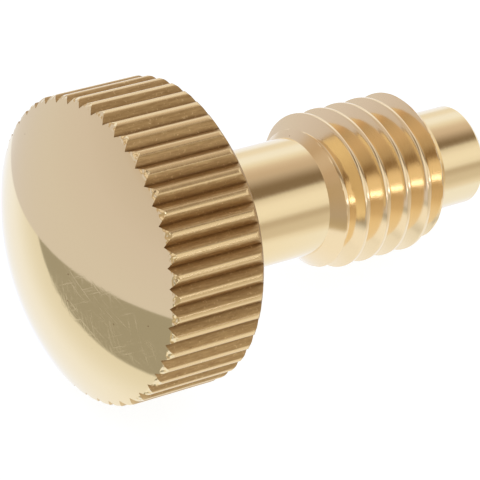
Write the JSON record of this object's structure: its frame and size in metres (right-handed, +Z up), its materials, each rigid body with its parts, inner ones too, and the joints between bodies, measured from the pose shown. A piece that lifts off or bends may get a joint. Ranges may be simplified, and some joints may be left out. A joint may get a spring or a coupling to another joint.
{
  "type": "thumb screw",
  "caption": "Small brass thumb screw with a domed, straight-knurled head, a thinner neck, a coarse metric thread and a plain dog point.",
  "frame": {"origin": "On the surface that the screw lies on, under the middle of its bounding box.", "axes": "+X runs along the screw, from its domed head to its dog point, +Z is up, and the screw's own axis lies in the XZ plane and tips down towards the point."},
  "size_m": [0.0156, 0.0094, 0.0099],
  "materials": {
    "brass": "turned brass with a polished dome"
  },
  "bodies": {
    "root": {"thumb_screw": "brass"}
  },
  "joints": []
}
